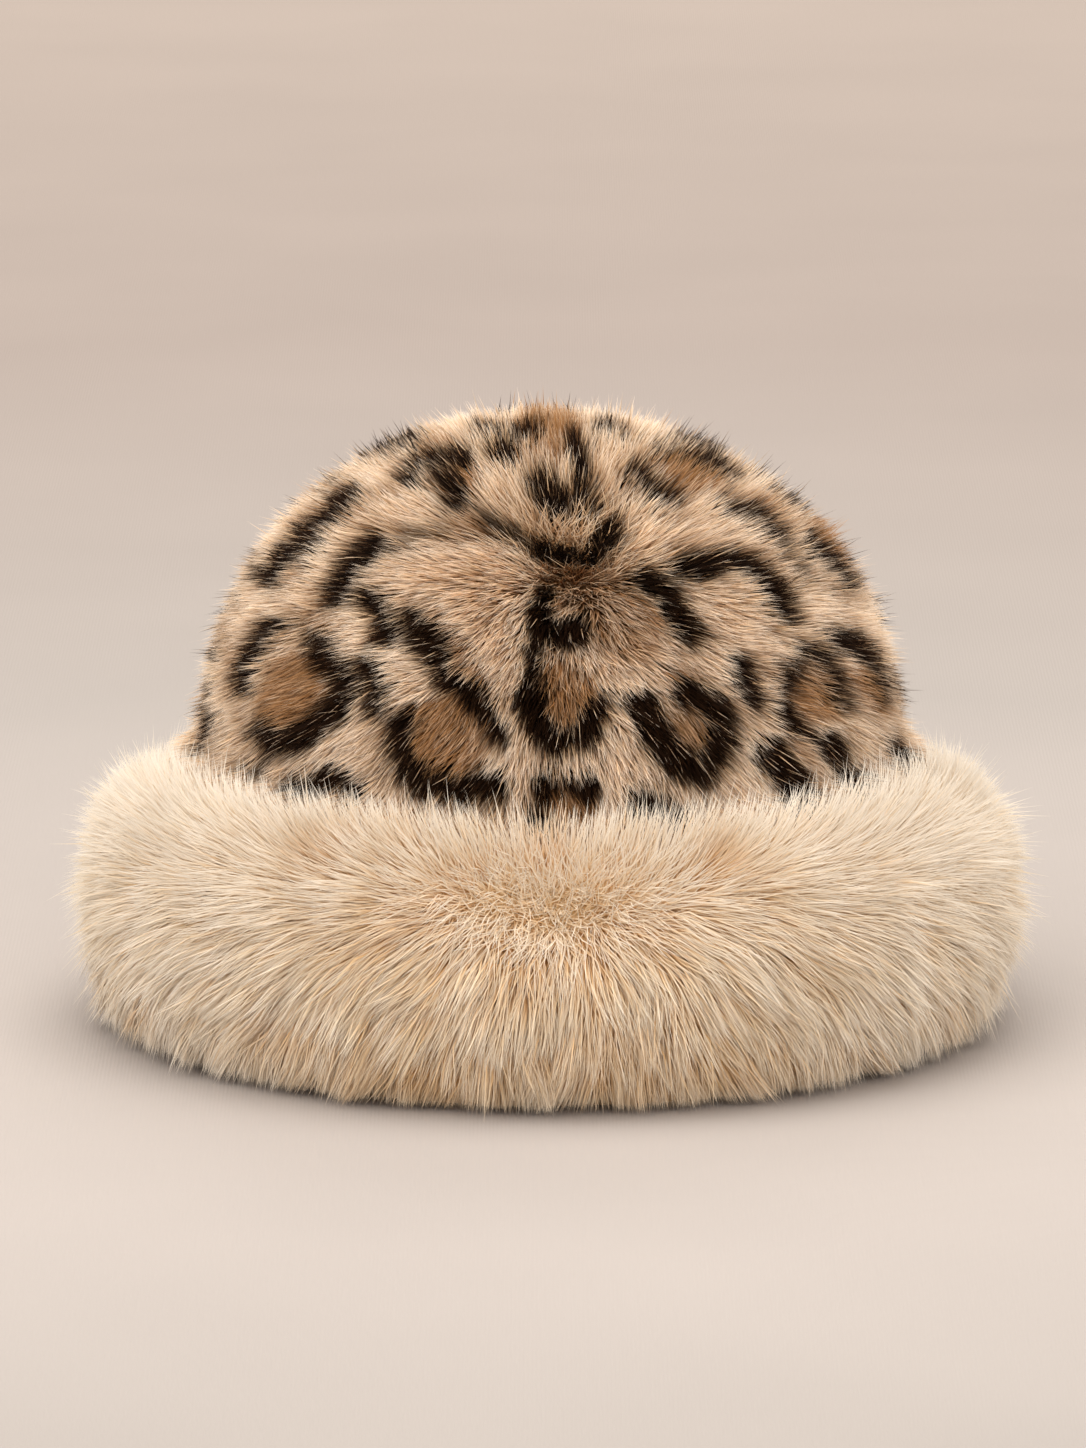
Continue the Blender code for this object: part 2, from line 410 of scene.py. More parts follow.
@dataclass(frozen=True)
class PhotoView:
    """The photo's viewpoint: a long lens from the front, a little above the hat."""

    distance: float = 3.0
    elevation: float = math.radians(11.5)
    aim: tuple[float, float, float] = (-0.002, 0.0, 0.0857)
    frame_height: float = 0.4166

    @property
    def lens(self) -> float:
        """Focal length in millimetres that shows frame_height at the aim."""
        return SENSOR * self.distance / self.frame_height

    @property
    def place(self) -> Vector:
        """Where the camera stands."""
        back = Vector((0, -math.cos(self.elevation), math.sin(self.elevation)))
        return Vector(self.aim) + back * self.distance

    @property
    def axes(self) -> Array:
        """The camera's right, down and forward directions, one a row."""
        rise, run = math.sin(self.elevation), math.cos(self.elevation)
        return np.array([(1, 0, 0), (0, -rise, -run), (0, run, -rise)])

    def from_pixel(self, px: float, py: float) -> Array:
        """Turn a pixel of the photo into metres right of and below the aim, square to the view."""
        return np.array([px - PHOTO_WIDTH / 2, py - PHOTO_HEIGHT / 2]) * self.frame_height / PHOTO_HEIGHT

    def ray(self, px: float, py: float) -> Vector:
        """Direction from the camera through a pixel of the photo."""
        return Vector((*self.from_pixel(px, py), self.distance) @ self.axes).normalized()

    def flatten(self, points: Array, depth_share: float) -> Array:
        """Turn points in space into the photo's flat view, with some of their depth kept.

        Args:
            points: the points.
            depth_share: how much of the depth is kept, from 0 to 1.

        Returns:
            Metres right of the aim, below it and into the view, square to the view.
        """
        seen = (points - np.array(self.place)) @ self.axes.T
        flat = seen[:, :2] / seen[:, 2:] * self.distance
        return np.column_stack((flat, depth_share * seen[:, 2]))

    def add_camera(self) -> None:
        """Create the camera and make it the scene's."""
        data = bpy.data.cameras.new("photo_camera")
        data.lens = self.lens
        data.sensor_width = SENSOR
        data.clip_end = 20.0
        camera = bpy.data.objects.new("photo_camera", data)
        camera.location = self.place
        camera.rotation_euler = (QUARTER - self.elevation, 0.0, 0.0)
        bpy.context.scene.collection.objects.link(camera)
        bpy.context.scene.camera = camera


@dataclass(frozen=True)
class CrownForm:
    """The form of the crown's pelt, as the solids have it."""

    half_width: float = 0.092
    half_length: float = 0.096
    pelt: float = 0.003
    pile: float = 0.009
    edge_lift: float = 0.006
    dome_base: float = 0.079
    dome_rise: float = 0.088
    dome_lean: float = -0.003
    gather_forward: float = math.radians(38.5)
    gather_aside: float = math.radians(7)
    gather_radius: float = 0.0024
    gather_depth: float = 0.004
    gather_spread: float = math.radians(13)
    gather_pile_share: float = 0.8
    gather_seam_share: float = 0.6
    gather_seam_reach: float = math.radians(38)
    seam_pile_share: float = 0.86
    pile_start: float = 0.060

    def inner(self, angle: Array, slope: Array, height: Array) -> Array:
        """Points of the pelt's inner side.

        Args:
            angle: angle round the gather.
            slope: angle away from the gather, a right angle at the dome's foot and below.
            height: height on the wall below the dome, read where slope is a right angle.

        Returns:
            The points, one a row.
        """
        turn = 1 - slope / QUARTER
        tilt, aside = self.gather_forward * turn, self.gather_aside * turn
        x, y, z = np.sin(slope) * np.cos(angle), np.sin(slope) * np.sin(angle), np.cos(slope)
        y, z = y * np.cos(tilt) - z * np.sin(tilt), y * np.sin(tilt) + z * np.cos(tilt)
        x, z = x * np.cos(aside) + z * np.sin(aside), z * np.cos(aside) - x * np.sin(aside)
        sink = 1 - self.gather_depth / self.half_width * np.exp(-((slope / self.gather_spread) ** 2))
        rise = self.dome_rise * z * sink
        lean = self.dome_lean * smooth_step(0, self.dome_rise, rise)
        dome = slope < QUARTER - 1e-6
        across, along = self.half_width * x * sink, self.half_length * y * sink
        top = np.stack((across + lean, along, self.dome_base + rise), -1)
        wall = np.stack((self.half_width * np.cos(angle), self.half_length * np.sin(angle), height), -1)
        return np.where(dome[:, None], top, wall)

    def pile_share(self, across: Array, slope: Array, height: Array) -> Array:
        """Share of the full pile: none behind the cuff, less along the seams and where they meet.

        Args:
            across: place between the gore's seams, from -1 to 1.
            slope: angle from the gather.
            height: height over the floor.

        Returns:
            The share at each point, from 0 to 1.
        """
        near = np.exp(-((slope / self.gather_seam_reach) ** 2))
        seam = self.seam_pile_share + (self.gather_seam_share - self.seam_pile_share) * near
        crest = 1 - (1 - seam) * np.abs(across) ** 3
        drawn_in = 1 - (1 - self.gather_pile_share) * np.exp(-((slope / self.gather_spread) ** 2))
        return crest * drawn_in * smooth_step(self.pile_start, self.dome_base, height)

    def gather(self) -> Array:
        """The point where the gores meet, on the inner side."""
        zero = np.zeros(1)
        return self.inner(zero, zero, zero)[0]


@dataclass(frozen=True)
class Mark:
    """A dark mark of the print: photo pixels along its middle, its width, and how dark it is."""

    px: tuple[int, ...]
    py: tuple[int, ...]
    width_mm: float
    strength: float = 1.0


@dataclass(frozen=True)
class Patch:
    """A soft tan patch of the print: a photo pixel, its radius, and how strong it is."""

    px: int
    py: int
    radius_mm: float
    strength: float = 1.0


# The print as the photo shows it, charted row by row from the top
FRONT_MARKS = (
    Mark(px=(372, 392, 415), py=(447, 439, 432), width_mm=7.0),
    Mark(px=(411, 425, 447, 464), py=(474, 460, 455, 461), width_mm=6.0),
    Mark(px=(438, 452, 460), py=(464, 482, 500), width_mm=6.5),
    Mark(px=(478, 500), py=(422, 424), width_mm=6.0),
    Mark(px=(497, 516, 535), py=(452, 438, 423), width_mm=6.5),
    Mark(px=(540, 550, 562), py=(483, 494, 499), width_mm=7.5),
    Mark(px=(581, 588, 597), py=(489, 497, 507), width_mm=5.5),
    Mark(px=(574, 577, 579), py=(441, 455, 470), width_mm=5.0),
    Mark(px=(601, 615, 628), py=(425, 426, 431), width_mm=4.5),
    Mark(px=(634, 650, 668), py=(469, 484, 500), width_mm=6.0),
    Mark(px=(659, 683), py=(446, 452), width_mm=5.5),
    Mark(px=(696, 712, 727), py=(458, 464, 471), width_mm=6.0),
    Mark(px=(684, 700, 717), py=(432, 438, 446), width_mm=7.0),
    Mark(px=(750, 768), py=(459, 470), width_mm=5.0),
    Mark(px=(727, 748, 765, 778), py=(507, 509, 519, 533), width_mm=5.5),
    Mark(px=(781, 794, 804), py=(541, 561, 582), width_mm=3.8, strength=0.85),
    Mark(px=(773, 790, 809), py=(493, 502, 507), width_mm=6.0),
    Mark(px=(810, 823, 838, 848), py=(538, 552, 570, 582), width_mm=6.5),
    Mark(px=(683, 700, 722, 748, 765, 777, 783), py=(566, 568, 559, 564, 580, 598, 614), width_mm=7.2),
    Mark(px=(643, 660, 677, 691), py=(577, 592, 612, 632), width_mm=7.8),
    Mark(px=(610, 604, 595), py=(526, 540, 552), width_mm=6.6),
    Mark(px=(489, 515, 536), py=(517, 531, 542), width_mm=4.2, strength=0.9),
    Mark(px=(536, 556, 580), py=(543, 552, 557), width_mm=6.0),
    Mark(px=(408, 428, 449), py=(537, 530, 526), width_mm=4.0, strength=0.6),
    Mark(px=(347, 330, 312, 292, 270), py=(496, 510, 526, 546, 570), width_mm=9.0),
    Mark(px=(318, 335), py=(485, 474), width_mm=5.0, strength=0.8),
    Mark(px=(254, 249), py=(547, 560), width_mm=5.0, strength=0.8),
    Mark(px=(238, 232), py=(577, 592), width_mm=5.5, strength=0.85),
    Mark(px=(373, 356, 338), py=(546, 562, 592), width_mm=8.6),
    Mark(px=(372, 380, 384), py=(600, 618, 632), width_mm=7.6),
    Mark(px=(415, 430, 440), py=(622, 640, 656), width_mm=8.6),
    Mark(px=(277, 258, 243, 242), py=(624, 641, 661, 684), width_mm=6.0),
    Mark(
        px=(318, 331, 344, 338, 320, 300, 280, 262),
        py=(640, 660, 681, 703, 722, 737, 741, 729),
        width_mm=8.0,
    ),
    Mark(px=(371, 376, 378), py=(667, 686, 704), width_mm=6.6),
    Mark(px=(214, 210), py=(628, 648), width_mm=6.0),
    Mark(px=(203, 198), py=(680, 702), width_mm=7.0, strength=0.9),
    Mark(px=(204, 199), py=(716, 738), width_mm=7.0),
    Mark(px=(296, 322, 338, 354), py=(784, 780, 773, 789), width_mm=6.2),
    Mark(px=(244, 262), py=(767, 773), width_mm=4.5, strength=0.85),
    Mark(px=(446, 463, 477, 488, 498), py=(681, 684, 698, 713, 728), width_mm=6.6),
    Mark(px=(406, 399, 408, 430, 459, 492), py=(724, 745, 767, 784, 787, 787), width_mm=8.6),
    Mark(px=(543, 540), py=(598, 625), width_mm=6.4),
    Mark(px=(537, 532, 527), py=(640, 664, 692), width_mm=5.0),
    Mark(px=(529, 540, 559, 580, 598), py=(700, 727, 742, 735, 711), width_mm=8.4),
    Mark(px=(545, 560, 577), py=(629, 634, 627), width_mm=7.8),
    Mark(px=(542, 562, 586), py=(788, 784, 784), width_mm=6.6),
    Mark(px=(539, 540), py=(796, 818), width_mm=6.6),
    Mark(px=(637, 650, 671, 693), py=(703, 727, 750, 768), width_mm=8.6),
    Mark(px=(684, 704, 720, 722, 714, 699), py=(692, 698, 713, 735, 757, 769), width_mm=8.6),
    Mark(px=(740, 748, 757), py=(664, 680, 697), width_mm=6.2),
    Mark(px=(806, 795, 786, 781, 796), py=(648, 659, 681, 704, 728), width_mm=4.8),
    Mark(px=(813, 825, 835, 843), py=(648, 661, 681, 703), width_mm=4.4),
    Mark(px=(822, 834), py=(738, 749), width_mm=7.4),
    Mark(px=(838, 855, 872), py=(637, 642, 655), width_mm=7.4),
    Mark(px=(874, 880, 885), py=(661, 676, 694), width_mm=6.0),
    Mark(px=(897, 905, 908), py=(667, 688, 705), width_mm=6.0, strength=0.9),
    Mark(px=(900, 903), py=(742, 766), width_mm=7.4),
    Mark(px=(846, 862), py=(778, 785), width_mm=6.4),
    Mark(px=(773, 783, 795, 803), py=(752, 768, 787, 801), width_mm=9.4),
    Mark(px=(641, 658, 678), py=(800, 805, 815), width_mm=7.6),
)
FRONT_PATCHES = (
    Patch(px=297, py=688, radius_mm=11.0),
    Patch(px=452, py=735, radius_mm=12.5),
    Patch(px=562, py=690, radius_mm=9.0, strength=0.8),
    Patch(px=565, py=805, radius_mm=8.5),
    Patch(px=689, py=722, radius_mm=5.5, strength=0.9),
    Patch(px=812, py=690, radius_mm=9.0, strength=0.8),
    Patch(px=862, py=690, radius_mm=8.0, strength=0.6),
    Patch(px=455, py=477, radius_mm=7.0, strength=0.8),
    Patch(px=552, py=428, radius_mm=10.0, strength=0.8),
    Patch(px=690, py=472, radius_mm=8.0, strength=0.7),
    Patch(px=830, py=528, radius_mm=8.0, strength=0.7),
    Patch(px=622, py=612, radius_mm=13.0, strength=0.6),
    Patch(px=572, py=585, radius_mm=9.0, strength=0.5),
    Patch(px=315, py=515, radius_mm=6.0, strength=0.4),
)


@dataclass(frozen=True)
class Roots:
    """Where hairs grow, and for each root how its hair lies.

    calm is 0 in a whorl and 1 where the hair is combed; share is of the coat's length; raised is 1
    where the hair stands up like plush and 0 where it lies in locks.
    """

    place: Array
    normal: Array
    comb: Array
    calm: Array
    share: Array
    raised: Array

    def some(self, chosen: Array) -> Roots:
        """Return the chosen roots."""
        return Roots(*(getattr(self, item.name)[chosen] for item in fields(self)))


@dataclass(frozen=True)
class Coat:
    """How one kind of fur grows: the length, width and lie of its hairs, and how they clump.

    sway has the height and the length of the slow turns in the way that the fur lies.
    """

    segments: int
    length: float
    length_spread: float
    width: float
    root_lift: float
    tip_lift: float
    plush_lift: float
    upright: float
    lift_spread: float
    turn_spread: float
    curl: float
    clump_size: float
    clump_pull: float
    lock_size: float
    lock_pull: float
    stray_share: float
    seed: int
    stray_length: float = 1.15
    stray_lift: float = math.radians(22)
    wild_turn: float = 10.0
    wild_curl: float = 4.0
    sway: tuple[tuple[float, float], ...] = ((0.22, 0.022), (0.16, 0.009))
    twist_spread: float = math.radians(20)
    roundness: float = 3.0
    tip_width: float = 0.7

    def grow(self, roots: Roots) -> Array:
        """Grow a hair from each root.

        Args:
            roots: the roots.

        Returns:
            Points along each hair, as an array of hairs by knots by 3.
        """
        rng = np.random.default_rng(self.seed)
        count = len(roots.place)
        wild = 1 - roots.calm
        turn = rng.normal(0, 1, count) * self.turn_spread * (1 + self.wild_turn * wild)
        for at, (high, pitch) in enumerate(self.sway):
            turn += high * waves(roots.place, pitch, self.seed + at)
        side = np.cross(roots.normal, roots.comb)
        comb = roots.comb * np.cos(turn)[:, None] + side * np.sin(turn)[:, None]
        side = np.cross(roots.normal, comb)
        length = self.length * roots.share * (1 + self.length_spread * rng.uniform(-1, 1, count))
        stray = rng.random(count) < self.stray_share
        length *= np.where(stray, self.stray_length, 1.0)
        jitter = rng.normal(0, self.lift_spread, count) + np.where(stray, self.stray_lift, 0)
        plush = self.plush_lift * roots.raised
        root_lift = self.root_lift + (self.upright - self.root_lift) * wild + 0.5 * plush + 0.5 * jitter
        tip_lift = self.tip_lift + (self.upright - self.tip_lift) * wild + plush + jitter
        phase = rng.uniform(0, math.tau, count)
        curl = self.curl * rng.uniform(0.3, 1.0, count) * (1 + self.wild_curl * wild)
        knots = np.linspace(0, 1, self.segments + 1)
        points = [roots.place]
        for low, high in zip(knots, knots[1:]):
            middle = (low + high) / 2
            lift = root_lift + (tip_lift - root_lift) * middle
            bend = curl * np.sin(phase + math.tau * middle)
            step = comb * np.cos(lift)[:, None] + roots.normal * np.sin(lift)[:, None] + side * bend[:, None]
            points.append(points[-1] + unit(step) * (length * (high - low))[:, None])
        line = np.stack(points, axis=1)
        loose = 1 - 0.7 * np.maximum(roots.raised, -0.5)
        line = self.draw_together(line, self.lock_size, self.lock_pull * loose, rng)
        return self.draw_together(line, self.clump_size, self.clump_pull * loose, rng)

    def draw_together(self, line: Array, size: float, pull: Array, rng: np.random.Generator) -> Array:
        """Bend hairs towards the hair in the middle of their clump, most at the tip.

        Args:
            line: points along each hair.
            size: how wide a clump is.
            pull: how far each tip is drawn to the middle hair's tip, from 0 to 1.
            rng: source of chance.

        Returns:
            The points along each hair.
        """
        order = rng.permutation(len(line))
        taken: list[int] = []
        grid: set[tuple[int, int, int]] = set()
        cells = np.floor(line[:, 0] / size).astype(int)
        for index in order:
            cell = tuple(cells[index])
            if cell not in grid:
                grid.add(cell)
                taken.append(int(index))
        tree = KDTree(len(taken))
        for number, index in enumerate(taken):
            tree.insert(line[index, 0], number)
        tree.balance()
        nearest = np.array([tree.find(root)[1] for root in line[:, 0]])
        middle = line[np.array(taken)[nearest]]
        growth = np.linspace(0, 1, line.shape[1]) ** 1.3
        own = pull * rng.uniform(0.5, 1.2, len(line))
        return line + (middle - line) * growth[None, :, None] * own[:, None, None]

    def ribbons(self, roots: Roots, line: Array) -> tuple[Array, Array]:
        """Give each hair the form of a flat ribbon that tapers to its tip.

        Args:
            roots: the roots.
            line: points along each hair.

        Returns:
            The corner points and their normals, each as hairs by corners by 3.
        """
        rng = np.random.default_rng(self.seed + 2)
        count = len(line)
        along = unit(np.gradient(line, axis=1))
        facing = np.repeat(roots.normal[:, None], line.shape[1], axis=1)
        facing = unit(facing - along * dot(facing, along))
        across = np.cross(along, facing)
        twist = rng.normal(0, self.twist_spread, (count, 1, 1))
        edge = across * np.cos(twist) + facing * np.sin(twist)
        flat = np.cross(edge, along)
        normal = unit(flat + self.roundness * facing)
        width = self.width * rng.uniform(0.75, 1.25, (count, 1, 1)) / 2
        taper = (1 - (1 - self.tip_width) * np.linspace(0, 1, self.segments + 1))[None, :, None]
        left, right = line - edge * width * taper, line + edge * width * taper
        pairs = np.stack((left[:, :-1], right[:, :-1]), axis=2).reshape(count, -1, 3)
        corners = np.concatenate((pairs, line[:, -1:]), axis=1)
        normals = np.concatenate((np.repeat(normal[:, :-1], 2, axis=1), normal[:, -1:]), axis=1)
        return corners, normals

    def mesh(self, name: str, roots: Roots, line: Array, dyes: dict[str, Array]) -> Mesh:
        """Join the hairs' ribbons into one mesh.

        Args:
            name: the mesh's name.
            roots: the roots.
            line: points along each hair.
            dyes: values of each hair that its material reads, by attribute name.

        Returns:
            The mesh.
        """
        count, segments = len(line), self.segments
        corners, normals = self.ribbons(roots, line)
        per_hair = 2 * segments + 1
        quads = [(2 * k, 2 * k + 1, 2 * k + 3, 2 * k + 2) for k in range(segments - 1)]
        one = [corner for quad in quads for corner in quad]
        one += [2 * segments - 2, 2 * segments - 1, 2 * segments]
        loops = (np.arange(count)[:, None] * per_hair + np.array(one)).ravel()
        sizes = np.tile([4] * (segments - 1) + [3], count)
        starts = np.concatenate(([0], np.cumsum(sizes)[:-1]))
        mesh = bpy.data.meshes.new(name)
        mesh.vertices.add(count * per_hair)
        mesh.vertices.foreach_set("co", corners.astype(np.float32).ravel())
        mesh.loops.add(len(loops))
        mesh.loops.foreach_set("vertex_index", loops.astype(np.int32))
        mesh.polygons.add(len(sizes))
        mesh.polygons.foreach_set("loop_start", starts.astype(np.int32))
        mesh.update(calc_edges=True)
        mesh.shade_smooth()
        mesh.normals_split_custom_set_from_vertices(normals.reshape(-1, 3).tolist())
        knots = np.linspace(0, 1, segments + 1)
        along = np.append(np.repeat(knots[:-1], 2), 1.0)
        dyes = {**dyes, "along": np.tile(along, count)}
        for key, values in dyes.items():
            spread = values if len(values) == count * per_hair else np.repeat(values, per_hair)
            layer = mesh.attributes.new(key, "FLOAT", "POINT")
            layer.data.foreach_set("value", spread.astype(np.float32))
        self.add_bake_map(mesh, count, np.array(one), along)
        return mesh

    def add_bake_map(self, mesh: Mesh, count: int, one: Array, along: Array) -> None:
        """Add a UV map that gives each hair a small cell of its own, root at the foot of the cell.

        Args:
            mesh: the hairs' mesh.
            count: how many hairs it has.
            one: the corners of one hair's faces.
            along: how far along the hair each of its points is.
        """
        cells = math.ceil(math.sqrt(count))
        margin = 0.15
        side = np.append(np.tile([0.0, 1.0], len(along) // 2), 0.5)
        local = np.stack((side[one], along[one]), -1) * (1 - 2 * margin) + margin
        index = np.arange(count)
        corner = np.stack((index % cells, index // cells), -1)
        uv = (corner[:, None, :] + local[None]) / cells
        layer = mesh.uv_layers.new(name="OFBake")
        layer.data.foreach_set("uv", uv.astype(np.float32).ravel())


def from_front(angle: Array) -> Array:
    """Angles round the hat as turns from the middle of its front, between minus and plus a half turn."""
    return np.mod(angle + QUARTER + math.pi, math.tau) - math.pi


def scatter(mesh: Mesh, furred: Array, count: int, seed: int) -> tuple[Array, Array]:
    """Spread points evenly over some faces of a mesh.

    Args:
        mesh: the mesh.
        furred: for each polygon, whether hair grows there.
        count: how many points.
        seed: seed of their places.

    Returns:
        The points and the smooth normals there.
    """
    rng = np.random.default_rng(seed)
    mesh.calc_loop_triangles()
    triangles = np.empty(len(mesh.loop_triangles) * 3, np.int32)
    mesh.loop_triangles.foreach_get("vertices", triangles)
    owners = np.empty(len(mesh.loop_triangles), np.int32)
    mesh.loop_triangles.foreach_get("polygon_index", owners)
    triangles = triangles.reshape(-1, 3)[furred[owners]]
    places, normals = vertex_data(mesh)
    a, b, c = (places[triangles[:, corner]] for corner in range(3))
    area = np.cumsum(np.linalg.norm(np.cross(b - a, c - a), axis=1))
    picks = np.searchsorted(area, (np.arange(count) + rng.random(count)) / count * area[-1])
    chosen = triangles[np.minimum(picks, len(triangles) - 1)]
    u, v = rng.random(count), rng.random(count)
    over = u + v > 1
    u, v = np.where(over, 1 - u, u), np.where(over, 1 - v, v)
    shares = np.stack((1 - u - v, u, v), -1)[:, :, None]
    return (places[chosen] * shares).sum(1), unit((normals[chosen] * shares).sum(1))


@dataclass
class Strokes:
    """Strokes of dye as straight stretches, each with half its width and how strong it is.

    thickness is how far off the skin a point may be and still be dyed in full.
    """

    starts: list[Array] = field(default_factory=list)
    ends: list[Array] = field(default_factory=list)
    halves: list[float] = field(default_factory=list)
    strengths: list[float] = field(default_factory=list)
    thickness: float = 0.015

    def add(self, points: list, width: float, strength: float) -> None:
        """Add a stroke along some points, or a round spot at one.

        Args:
            points: the points.
            width: its width in metres.
            strength: how dark it is, from 0 to 1.
        """
        path = [np.array(point) for point in points]
        for start, end in zip(path, path[1:] or path):
            self.starts.append(start)
            self.ends.append(end)
            self.halves.append(width / 2)
            self.strengths.append(strength)

    def gap(self, points: Array, normals: Array | None = None) -> tuple[Array, Array]:
        """Find the stroke that each point is nearest to or deepest in.

        Args:
            points: the points.
            normals: for points in space, the skin's normals, since dye is measured along the skin.

        Returns:
            How far each point is outside that stroke, less than 0 within it, and how strong it is.
        """
        best, strengths = np.full(len(points), 1.0), np.zeros(len(points))
        for start, end, half, strength in zip(self.starts, self.ends, self.halves, self.strengths):
            along = end - start
            share = np.clip((points - start) @ along / max(along @ along, 1e-12), 0, 1)
            offset = points - start - share[:, None] * along
            deep = 0.0
            if normals is not None:
                through = dot(offset, normals)
                offset = offset - through * normals
                deep = np.maximum(np.abs(through[:, 0]) - self.thickness, 0)
            near = np.linalg.norm(offset, axis=1) + deep - half
            strengths = np.where(near < best, strength, strengths)
            best = np.minimum(best, near)
        return best, strengths


class Print:
    """The leopard print: the photo's own marks where it shows the crown, and rosettes by rule behind.

    Attributes:
        spread: how far a mark's dye runs past its charted width, since paler hairs lie over its edge.
        depth_share: how much depth counts beside the flat distance in the photo, so that a mark at
            the crown's edge isn't drawn out along the view.
        front_facing: how squarely the crown must face the camera for the chart alone to hold.
        chart_end: how far past the crown's edge the charted marks run on.
        rings: rows of ruled marks from the top down, spacing apart.
        turn_chance: how far a ruled mark is moved round, as a share of its step.
        lean_chance: how far it is moved up or down.
        ragged: height and length of the waves in the marks' edges.
        missed: share of a mark's hairs that take little dye, and how much they take.
        patch_soft: how far within and outside its edge a warm patch fades.
        warm_noise: mean and spread of the warmth that hairs have by chance.
        warm_waves: height and length of the slow changes in warmth.
        beside: where the warm band beside a mark begins, is full, fades and ends, from its edge.
        halo: the same for the pale band round it.
    """

    spread = 0.0007
    depth_share = 0.26
    front_facing = 0.04
    chart_end = -0.35
    rings = 7
    spacing = 0.034
    turn_chance = 0.18
    lean_chance = 0.12
    rosette_room = 0.021
    rosette_radius = (0.0105, 0.0135)
    rosette_stroke = (0.0055, 0.0085)
    spot_room = 0.011
    spot_reach = (0.002, 0.004)
    spot_width = (0.005, 0.0075)
    ragged = ((0.0009, 0.011), (0.0006, 0.0045))
    edge_noise = 0.0006
    edge_soft = 0.0012
    missed = (0.035, 0.2)
    back_seed = 5
    patch_soft = (-0.003, 0.0035)
    warm_noise = (0.07, 0.20)
    warm_waves = (0.16, 0.03)
    warm_beside = 0.28
    beside = (-0.001, 0.002, 0.002, 0.007)
    halo = (0.0005, 0.002, 0.004, 0.010)
    pale_halo = 0.45
    pale_chance = 0.15

    def __init__(self, view: PhotoView, form: CrownForm, nodes: dict[str, Object]) -> None:
        """Lay the chart on the crown's solids.

        Args:
            view: the photo's viewpoint.
            form: the crown's form.
            nodes: the solids of the crown, by name.
        """
        self.view = view
        self.form = form
        self.tree = self.surface(nodes)
        self.front_marks, self.front_patches = Strokes(), Strokes()
        self.back_marks, self.back_patches = Strokes(), Strokes()
        self.lay_front()
        self.lay_back()

    @staticmethod
    def surface(nodes: dict[str, Object]) -> BVHTree:
        """Return a search tree of the crown's solids.

        Args:
            nodes: the solids by name.

        Returns:
            The tree.
        """
        bm = bmesh.new()
        for name, node in nodes.items():
            if name.startswith("crown_gore"):
                bm.from_mesh(node.data)
        tree = BVHTree.FromBMesh(bm)
        bm.free()
        return tree

    def find(self, px: float, py: float) -> Vector:
        """Find the place on the crown that a pixel of the photo shows, or the one nearest to it."""
        way = self.view.ray(px, py)
        hit = self.tree.ray_cast(self.view.place, way)[0]
        return hit or self.tree.find_nearest(self.view.place + way * self.view.distance)[0]

    def flatten(self, px: float, py: float) -> Array:
        """Flatten the place that a pixel of the photo shows, as hairs are flattened."""
        flat = self.view.flatten(np.array([self.find(px, py)]), self.depth_share)[0]
        flat[:2] = self.view.from_pixel(px, py)
        return flat

    def lay_front(self) -> None:
        """Lay the charted marks and patches in the photo's view."""
        for mark in FRONT_MARKS:
            points = [self.flatten(*pixel) for pixel in zip(mark.px, mark.py)]
            self.front_marks.add(points, mark.width_mm * MM, mark.strength)
        for patch in FRONT_PATCHES:
            width = 2 * patch.radius_mm * MM
            self.front_patches.add([self.flatten(patch.px, patch.py)], width, patch.strength)

    def lay_back(self) -> None:
        """Lay rosettes and small spots on the side that the photo doesn't show."""
        rng = np.random.default_rng(self.back_seed)
        centre = Vector((0, 0, self.form.dome_base))
        taken = [self.find(*pixel) for mark in FRONT_MARKS for pixel in zip(mark.px, mark.py)]
        away = (centre - self.view.place).normalized()
        far = 0.2
        for ring in range(self.rings):
            tilt = QUARTER * (ring + 0.35) / self.rings
            steps = max(1, round(math.tau * math.sin(tilt) * self.form.half_width / self.spacing))
            for step in range(steps):
                moved = rng.uniform(-self.turn_chance, self.turn_chance)
                turn = math.tau * (step + 0.5 * (ring % 2) + moved) / steps
                lean = tilt + rng.uniform(-self.lean_chance, self.lean_chance)
                out = math.sin(lean)
                way = Vector((out * math.cos(turn), out * math.sin(turn), math.cos(lean)))
                point, normal, _, _ = self.tree.ray_cast(centre + way * far, -way)
                if point is None or normal.dot(away) < 0.0:
                    continue
                gap = min((point - other).length for other in taken)
                if gap > self.rosette_room:
                    self.add_rosette(point, normal, rng.uniform(*self.rosette_radius), rng)
                    taken.append(point)
                elif gap > self.spot_room:
                    self.add_spot(point, normal, rng)
                    taken.append(point)

    def add_rosette(self, point: Vector, normal: Vector, radius: float, rng: np.random.Generator) -> None:
        """Add a broken ring of dark strokes round a tan middle.

        Args:
            point: its middle, on the crown.
            normal: the skin's normal there.
            radius: its radius in metres.
            rng: source of chance.
        """
        one, other = self.level_axes(normal)
        pieces = int(rng.integers(2, 5))
        start = rng.uniform(0, math.tau)
        stretch = rng.uniform(0.75, 1.25)
        for piece in range(pieces):
            sweep = math.tau / pieces * rng.uniform(0.5, 0.8)
            first = start + math.tau * piece / pieces
            stroke = []
            for share in (0.0, 0.33, 0.67, 1.0):
                turn = first + sweep * share
                reach = radius * rng.uniform(0.9, 1.12)
                offset = one * math.cos(turn) * reach * stretch + other * math.sin(turn) * reach / stretch
                stroke.append(self.tree.find_nearest(point + offset)[0])
            self.back_marks.add(stroke, rng.uniform(*self.rosette_stroke), 1.0)
        self.back_patches.add([point], radius * 1.8, rng.uniform(0.7, 1.0))

